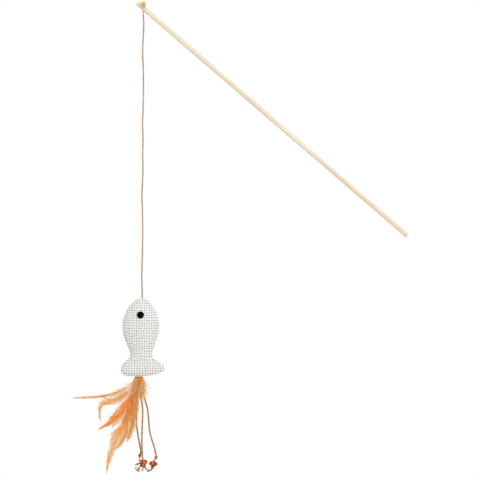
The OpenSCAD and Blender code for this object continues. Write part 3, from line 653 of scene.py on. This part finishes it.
# The feathers: dyed cock and marabou feathers, held by their quills in the binding. Each has an amber
# quill with fine barbs on both sides, which cling into a vane further out and are loose down at the foot.
feather_foot = root + Vector((0, 0, -0.49)) * mm
foot_spread = 6.6
back_layer = 7
layer_gap = 0.5
layer_fan = math.tan(math.radians(8)) / 8
quill_foot_r, quill_tip_r = 0.28, 0.05
spine_steps, thinnest_step = 140, 125


def between(table, share, column):
    """A value read between the entries of a table."""
    for a, b in zip(table, table[1:]):
        if share <= b[0]:
            return a[column] + (b[column] - a[column]) * (share - a[0]) / (b[0] - a[0])
    return table[-1][column]


def plume_finish(name, deep, mid, pale):
    """Dyed barbs: the dye is deep along the quill and thins out to the barbs' ends and the foot."""
    f = Finish(name, Roughness=0.6, Specular_IOR_Level=0.12)
    out, far, pick = f.node("SeparateXYZ", Vector=f.attribute("barb")).outputs
    blotch = f.noise(f.object_place(), Scale=95.0, Detail=3.0)
    streak = f.calc("MULTIPLY_ADD", pick, 0.6,
        f.calc("MULTIPLY_ADD", out, 0.34, f.calc("MULTIPLY_ADD", blotch, 0.7, -0.3)))
    tint = f.ramp(streak, (0.2, deep), (0.5, mid), (0.9, pale))
    foot = f.span(far, 0.0, 0.3, 0.45, 0.0, "SMOOTHSTEP")
    tip = f.span(far, 0.55, 1.0, 0.0, 0.5, "SMOOTHSTEP")
    f.paint(f.blend(tip, f.blend(foot, tint, pale), mid))
    f.bump(f.noise(f.object_place(), Scale=3800.0, Detail=2.0), 0.3, 0.0001)
    return f.material


deep_plume = plume_finish("deep_orange_plume", colour(242, 112, 26), colour(248, 150, 62),
    colour(254, 202, 136))
mid_plume = plume_finish("orange_plume", colour(248, 142, 52), colour(252, 176, 96), colour(254, 218, 158))
pale_plume = plume_finish("pale_orange_plume", colour(250, 154, 70), colour(254, 190, 114),
    colour(255, 226, 172))
amber = Finish("amber_quill", Roughness=0.35, Coat_Weight=0.2)
shaft = amber.noise(amber.object_place(), Scale=260.0, Detail=2.0)
amber.paint(amber.ramp(shaft, (0.3, colour(206, 118, 56)), (0.7, colour(236, 164, 104))))

barb_steps = 5
barb_depth = 0.11
bm = bmesh.new()
ring = bmesh.ops.create_circle(bm, cap_ends=True, segments=3, radius=0.5)["verts"]
bmesh.ops.rotate(bm, cent=(0, 0, 0), matrix=Matrix.Rotation(math.pi / 2, 3, "Y"), verts=ring)
edges = list({e for v in ring for e in v.link_edges})
for _ in range(barb_steps):
    grown = bmesh.ops.extrude_edge_only(bm, edges=edges)["geom"]
    ring = [g for g in grown if isinstance(g, bmesh.types.BMVert)]
    edges = [g for g in grown if isinstance(g, bmesh.types.BMEdge)]
    bmesh.ops.translate(bm, vec=(1 / barb_steps, 0, 0), verts=ring)
bmesh.ops.contextual_create(bm, geom=edges)
bmesh.ops.recalc_face_normals(bm, faces=bm.faces)
barb_shape = bpy.data.meshes.new("one_barb")
bm.to_mesh(barb_shape)
bm.free()


def lay_barbs(bm, barbs):
    """Plants copies of the barb. Each has its foot, way, length, curl, width and wave, its place
    along the feather, and its pick of the colours."""
    for _ in barbs:
        bm.from_mesh(barb_shape)
    place = bm.verts.layers.float_vector.new("barb")
    bm.verts.ensure_lookup_table()
    size = len(barb_shape.vertices)
    for n, (base, go, onward, reach, bend, wide, wave, beat, share, ridge, pick) in enumerate(barbs):
        flat = go.cross(Vector((0, 1, 0))).normalized()
        for v in bm.verts[n * size:(n + 1) * size]:
            x, cross, thick = v.co.x, v.co.y, v.co.z
            spot = base + (reach * x * go + reach * bend * x * x * onward) * mm
            spot += flat * (wide * cross * (1 - 0.6 * x) + wave * math.sin(beat * x)) * mm
            spot.y += (thick * barb_depth * (1 - 0.5 * x) + ridge * (1 - x)) * mm
            v[place] = (x, share, pick)
            v.co = spot


def feather(node, leans, length, layer, foot_share, plume, seed, edges, loose=0.3, spacing=0.27,
        open_way=0.36):
    """One feather. Its quill follows the leans, in degrees from straight down. Its barbs reach to
    the edges, given as a share of the length and millimetres to the left and right of the quill,
    and are down as far as the share called loose."""
    random.seed(seed)
    foot = feather_foot + Vector((foot_share * foot_spread, 0, 0)) * mm
    spine, turns = [Vector((0, 0, 0))], []
    table = [(i / (len(leans) - 1), a) for i, a in enumerate(leans)]
    for i in range(spine_steps):
        a = math.radians(between(table, (i + 0.5) / spine_steps, 1))
        turns.append(a)
        spine.append(spine[-1] + length / spine_steps * Vector((-math.sin(a), 0, -math.cos(a))))
    rise = (layer - back_layer) * layer_fan
    for p in spine:
        p.y = (layer - back_layer) * layer_gap + p.length * rise
    spine = [foot + p * mm for p in spine]
    count = int(length / spacing)
    barbs = []
    for k in range(count):
        for hand in (-1, 1):
            share = 0.01 + 0.985 * (k + random.random() * 0.6) / count
            down_part = max(0.0, 1 - share / loose)
            if random.random() < 0.6 * min(1, 1.6 * down_part):
                continue
            i = min(int(share * spine_steps), spine_steps - 1)
            onward = Vector((-math.sin(turns[i]), 0, -math.cos(turns[i])))
            outward = hand * Vector((math.cos(turns[i]), 0, -math.sin(turns[i])))
            # Barbs cling in broad locks, each with finer ones in it.
            lock = noise.noise(Vector((share * length / 4.5, seed * 3.7, hand * 9)))
            fine_lock = noise.noise(Vector((share * length / 1.5, seed * 5.3, hand * 7)))
            swing = open_way * (1 + 0.5 * lock) + random.uniform(-0.04, 0.04)
            column = 1 if hand < 0 else 2
            half = between(edges, share, column)
            # A barb's end lies further along the feather, so its reach is looked up there.
            for _ in range(4):
                end_share = min(1, share + half / math.tan(swing) / length)
                half = (half + between(edges, end_share, column)) / 2
            half *= 1 + 0.55 * lock + random.uniform(-0.1, 0.1) * (1 + 4 * min(1, down_part))
            stray = random.random() < 0.08 + 0.16 * down_part
            reach = min(half / math.sin(swing) + 0.4, (1.03 - share) * length + 0.6)
            if stray:
                reach, swing = reach * 1.2 + 1.2, swing * random.uniform(0.9, 1.7)
            swing += down_part * random.uniform(-0.15, 0.45)
            lift = random.uniform(-0.004, 0.004) + down_part * random.uniform(-0.04, 0.04)
            go = outward * math.sin(swing) + onward * math.cos(swing)
            from_foot = ((spine[i] - foot) * Vector((1, 0, 1))).normalized()
            go.y = lift + rise * go.dot(from_foot)  # stays in its feather's own layer
            wide = (0.26 if stray else 0.46 - 0.16 * min(1, 2 * down_part)) * random.uniform(0.85, 1.15)
            bend = random.uniform(0.02, 0.16) + down_part * random.uniform(-0.3, 0.35)
            wave = down_part * random.uniform(0.1, 0.4) + 0.05
            beat = random.uniform(4, 9)
            ridge = 0.05 * math.sin(k * 2.4)
            pick = 0.3 * random.random() + 0.34 + 0.5 * lock + 1.1 * fine_lock + 0.25 * stray
            barbs.append((spine[i], go, onward, reach, bend, min(wide, 0.2 + 0.4 * half), wave, beat,
                share, ridge, pick))
    bm = bmesh.new()
    lay_barbs(bm, barbs)
    barb_faces = len(bm.faces)
    quill_r = [mm * (quill_foot_r - (quill_foot_r - quill_tip_r) * min(1, i / thinnest_step))
        for i in range(0, spine_steps + 1, 2)]
    draw_strand(bm, spine[::2], quill_r, plies=1, sides=8)
    made = finished(bm, node + "_plume", plume, amber.material)
    for face in made.data.polygons[barb_faces:]:
        face.material_index = 1
    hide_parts(node)
    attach(made, node + "_body")


feather("feather_1", (50, 57, 67, 79, 86, 88, 89), length=76, layer=1, foot_share=-0.3, plume=mid_plume,
    seed=1, loose=0.4,
    edges=((0, 1.4, 1.6), (0.12, 2.2, 3), (0.26, 2, 3.8), (0.38, 1.8, 3), (0.5, 1.4, 1.6), (0.75, 1, 1),
        (0.94, 0.6, 0.6), (1, 0.1, 0.1)))
feather("feather_2", (34, 38, 54, 74, 66, 4, -14), length=68, layer=3, foot_share=-0.2, plume=pale_plume,
    seed=2, loose=0.35,
    edges=((0, 1.4, 1.6), (0.12, 3, 3.4), (0.28, 4.8, 4.4), (0.45, 5.2, 4.6), (0.58, 4.2, 3.4),
        (0.7, 2.6, 2), (0.82, 1.6, 1.2), (0.94, 0.8, 0.6), (1, 0.1, 0.1)))
feather("feather_3", (14, 22, 28, 37, 49, 58, 62), length=74, layer=2, foot_share=-0.1, plume=deep_plume,
    seed=3,
    edges=((0, 1.6, 1.6), (0.12, 4, 4), (0.27, 7, 6.5), (0.42, 9, 9), (0.56, 8.4, 8.4), (0.68, 5.6, 5.2),
        (0.78, 3, 2.6), (0.87, 1.4, 1.2), (1, 0.1, 0.1)))
feather("feather_4", (16, 24, 30, 33, 33, 30, 26), length=62, layer=7, foot_share=0, plume=pale_plume,
    seed=4, loose=0.5,
    edges=((0, 1.4, 1.4), (0.2, 2.6, 2.6), (0.45, 1.8, 1.8), (0.7, 1.3, 1.3), (0.88, 0.8, 0.8),
        (1, 0.1, 0.1)))
feather("feather_5", (8, 12, 20, 30, 29, 15, 5), length=112, layer=4, foot_share=0, plume=pale_plume,
    seed=5, loose=0.25,
    edges=((0, 1.6, 1.6), (0.14, 3.6, 4), (0.3, 3.6, 5), (0.42, 5.8, 6), (0.52, 8.4, 6.4), (0.62, 6.6, 6),
        (0.72, 3.6, 4.6), (0.82, 2.2, 2.8), (0.92, 1, 1.2), (1, 0.1, 0.1)))
feather("feather_6", (8, 8, 7, 8, 11, 16, 24), length=71, layer=5, foot_share=0.08, plume=mid_plume,
    seed=6,
    edges=((0, 1.6, 1.4), (0.15, 3.4, 2.6), (0.35, 4.4, 3.6), (0.5, 4.8, 3.4), (0.65, 5.8, 3.6),
        (0.78, 4.6, 3.2), (0.9, 2, 1.6), (1, 0.1, 0.1)))
feather("feather_7", (9, 13, 17, 16, 15, 22, 36), length=82, layer=6, foot_share=0.04, plume=pale_plume,
    seed=7,
    edges=((0, 1.6, 1.4), (0.15, 3.4, 3), (0.35, 4, 3.4), (0.6, 5, 2.8), (0.75, 4.8, 3), (0.88, 2.8, 2.2),
        (1, 0.1, 0.1)))
feather("down_feather", (-40, -24, -10, -4, 0, 4, 6), length=22, layer=0, foot_share=0.3,
    plume=pale_plume, seed=8, loose=1.3, spacing=0.11, open_way=0.5,
    edges=((0, 2.6, 2), (0.3, 4, 3.2), (0.6, 4.4, 3.6), (0.85, 3, 3), (1, 1, 1)))


# The feathers' root: eight quills and three cord ends gathered under the tail and bound with dark
# brown thread. The butts are dyed with the feathers, and short down stands off all round them.
butts = Finish("dyed_butts", Roughness=0.7, Sheen_Weight=0.2)
strands = butts.noise(butts.object_place(), (1800, 1800, 160), Scale=1.0, Detail=4.0)
butts.paint(butts.ramp(strands, (0.3, colour(246, 178, 124)), (0.5, colour(255, 216, 174)),
    (0.7, colour(255, 230, 192))))
butts.bump(strands, 0.7, 0.0003)
random.seed(4)
tuft_count = 120
tufts = []
for i in range(tuft_count):
    turn = random.uniform(0, 2 * math.pi)
    flare = random.uniform(0.1, 0.75) if i % 5 else random.uniform(0.5, 1.3)
    go = Vector((math.cos(turn) * flare, 0.6 * math.sin(turn) * flare, -1)).normalized()
    height = random.uniform(-0.8, 1.2) if i % 2 else random.uniform(1.8, 3.4)
    out = 3.1 if height < 0.3 else 3.9
    base = root + Vector((out * math.cos(turn), (out + 0.4) * math.sin(turn), height)) * mm
    reach, bend, wide = random.uniform(6, 14), random.uniform(0.1, 0.4), random.uniform(0.4, 0.56)
    wave, beat, pick = random.uniform(0.1, 0.4), random.uniform(3, 6), random.random() * 0.9
    tufts.append((base, go, down, reach, bend, wide, wave, beat, 0.3, 0, pick))
bm = bmesh.new()
lay_barbs(bm, tufts)
down_faces = len(bm.faces)
for count, out, r, start in ((15, 1.0, 0.78, 0), (7, 0.5, 0.95, 0.2)):
    for i in range(count):
        turn = 2 * math.pi * i / count + start
        x, y = out * 2.6 * math.cos(turn), out * 3.1 * math.sin(turn)
        flare = random.uniform(1.05, 1.3)
        run = [root + Vector((x * wide, y * deep, z)) * mm for wide, deep, z in (
            (flare, flare, 3.5), (1, 1, 2.4), (0.96, 0.96, 1.4), (1, 1, 0), (1.05, 1.02, -0.8))]
        draw_strand(bm, smooth_route(run, 0.6 * mm), r * mm, plies=1, sides=8)
bound = finished(bm, "bound_butts", butts.material, mid_plume)
for face in bound.data.polygons[:down_faces]:
    face.material_index = 1
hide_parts("feather_root")
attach(bound, "fish")

dark_thread = twine_finish("dark_binding_thread", colour(104, 56, 32), colour(150, 90, 52),
    colour(190, 126, 80), scale=2.0)
wound_turns, turn_steps, wound_height = 6, 24, 2.2
root_wide, root_deep = 3.45, 3.95
wound = []
for i in range(turn_steps * wound_turns + 1):
    a = 2 * math.pi * i / turn_steps
    height = 0.75 + wound_height * i / (turn_steps * wound_turns)
    wound.append(root + Vector((root_wide * math.cos(a), root_deep * math.sin(a), height)) * mm)
bm = bmesh.new()
draw_strand(bm, wound, 0.18 * mm, plies=2, pitch=1.2 * mm, sides=6)
binding = finished(bm, "root_binding", dark_thread)
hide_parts("binding_thread")
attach(binding, "fish")


# The beads: two pressed glass rondelles, red-orange and glossy, threaded on the middle and right
# tail cords. Each has fourteen facets round, in two rows on each side of its widest line.
bead_glass = Finish("orange_glass_bead", Roughness=0.1, Specular_IOR_Level=0.12, IOR=1.2)
# Painted light: the rims are painted darker where they turn edge-on, and each facet takes a tone from its own
# normal, from dark red painted shade to a bright golden painted glint.
painted_dark_rim = bead_glass.node("LayerWeight", Blend=0.42).outputs["Facing"]
facet_glint_and_shade = bead_glass.noise(bead_glass.node("TexCoord").outputs["Normal"], Scale=2.6, Detail=1.0)
painted_facet_tones = bead_glass.ramp(facet_glint_and_shade, (0.38, colour(112, 16, 0)), (0.5, colour(190, 54, 4)),
    (0.58, colour(222, 92, 12)), (0.7, colour(255, 166, 84)))
bead_glass.paint(bead_glass.blend(bead_glass.span(painted_dark_rim, 0.25, 0.7), painted_facet_tones, colour(84, 10, 2)))
bead_outline = [(1.05, -2.5), (1.35, -2.6), (2.6, -2.6), (4.3, -1.35), (4.9, 0), (4.3, 1.35), (2.6, 2.6),
    (1.35, 2.6), (1.05, 2.5)]
for node, at, run, body in (("middle_bead", middle_bead_at, middle_bead_run, "middle_bead_body"),
        ("right_bead", right_bead_at, right_bead_run, "right_bead_body")):
    bm = turned(bead_outline, 14, closed=True)
    bmesh.ops.bevel(bm, geom=list(bm.edges), offset=0.14 * mm, offset_type="OFFSET", segments=1, profile=0.5,
        affect="EDGES", clamp_overlap=True, material=-1)
    lean = down.rotation_difference(run).to_matrix().to_4x4()
    bmesh.ops.transform(bm, matrix=Matrix.Translation(at) @ lean, verts=bm.verts)
    bead = finished(bm, node + "_faceted", bead_glass.material, smooth=False)
    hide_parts(node)
    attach(bead, body)


# The bell: a nickel-plated jingle bell, pressed in two halves and crimped round its middle, with a
# wire loop in its top, two crossed slots in its foot, and a steel pellet loose inside.
nickel = Finish("polished_nickel", Metallic=1.0)
# Painted light and tarnish: noise patches the base colour from near black to bright, as painted dark
# reflections and painted highlights, with some slight tarnish.
reflection_and_tarnish_patches = nickel.noise(nickel.object_place(), Scale=330.0, Detail=3.0)
scratch = nickel.noise(nickel.object_place(), (400, 6000, 900), (0.4, 0.2, 0.9), Scale=1.0, Detail=2.0)
nickel.paint(nickel.ramp(reflection_and_tarnish_patches, (0.3, colour(70, 64, 62)), (0.38, colour(166, 152, 134)),
    (0.45, colour(230, 220, 200)), (0.58, colour(255, 252, 242))))
nickel.set(nickel.shader, "Roughness", nickel.span(scratch, 0.35, 0.7, 0.1, 0.26))
nickel.bump(scratch, 0.08, 0.00005)
for node in ("bell_loop", "bell_upper", "bell_lower", "bell_pellet"):
    dress(node, nickel.material)


# The studio: a pale floor under the hanging toy, which fades to white at its rim for the camera
# and keeps the toy's shadow, a white surround, and soft lamps, two in front and one behind.
paper = Finish("pale_floor", Roughness=0.8)
place = paper.object_place()
grain = paper.noise(place, Scale=60.0, Detail=3.0)
paper.paint(paper.ramp(grain, (0.3, colour(236, 236, 235)), (0.7, colour(240, 240, 239))))
middle = Vector((-0.15, -0.46, -0.345))
far_off = paper.node("VectorMath", {"operation": "DISTANCE"}, n0=place, n1=middle).outputs["Value"]
fade = paper.span(far_off, 0.3, 0.76, 0.5, 1.0, "SMOOTHSTEP")
shown = paper.calc("MULTIPLY", fade, paper.node("LightPath").outputs["Is Camera Ray"])
glow = paper.node("Emission", Color=(1, 1, 1, 1), Strength=1.0)
faded = paper.node("MixShader", n0=shown, n1=paper.shader.outputs[0], n2=glow.outputs[0])
paper.set(paper.tree.nodes["Material Output"], "Surface", faded.outputs[0])
bm = bmesh.new()
bmesh.ops.create_grid(bm, x_segments=2, y_segments=2, size=0.8)
bmesh.ops.transform(bm, matrix=Matrix.Translation(middle), verts=bm.verts)
floor = finished(bm, "floor", paper.material)
if floor.data.polygons[0].normal.z < 0:
    floor.data.flip_normals()

sky = bpy.data.worlds.new("studio")
bpy.context.scene.world = sky
sky.use_nodes = True
air = Nodes(sky.node_tree)
room = sky.node_tree.nodes["Background"]
air.set(room, "Color", (1, 1, 1, 1))
air.set(room, "Strength", 0.69)
bright = air.node("Background", Color=(1, 1, 1, 1), Strength=1.0)
ray = air.node("LightPath").outputs
mirrored = air.calc("MAXIMUM", ray["Is Transmission Ray"], ray["Is Glossy Ray"])
seen = air.calc("MAXIMUM", ray["Is Camera Ray"], mirrored)
joined = air.node("MixShader", n0=seen, n1=room.outputs[0], n2=bright.outputs[0])
air.set(sky.node_tree.nodes["World Output"], "Surface", joined.outputs[0])
target = Vector((-0.15, 0, -0.03))
for name, at, power, size in (("key_lamp", (-0.1, -1.2, 1.6), 14, 0.8),
        ("fill_lamp", (0.9, -1.6, -0.2), 9, 0.9), ("back_lamp", (-0.3, 1.6, 0.5), 9, 0.9)):
    lamp = bpy.data.lights.new(name, "AREA")
    lamp.energy = power
    lamp.size = size
    holder = bpy.data.objects.new(name, lamp)
    holder.location = at
    holder.rotation_euler = (target - Vector(at)).to_track_quat("-Z", "Y").to_euler()
    bpy.context.scene.collection.objects.link(holder)
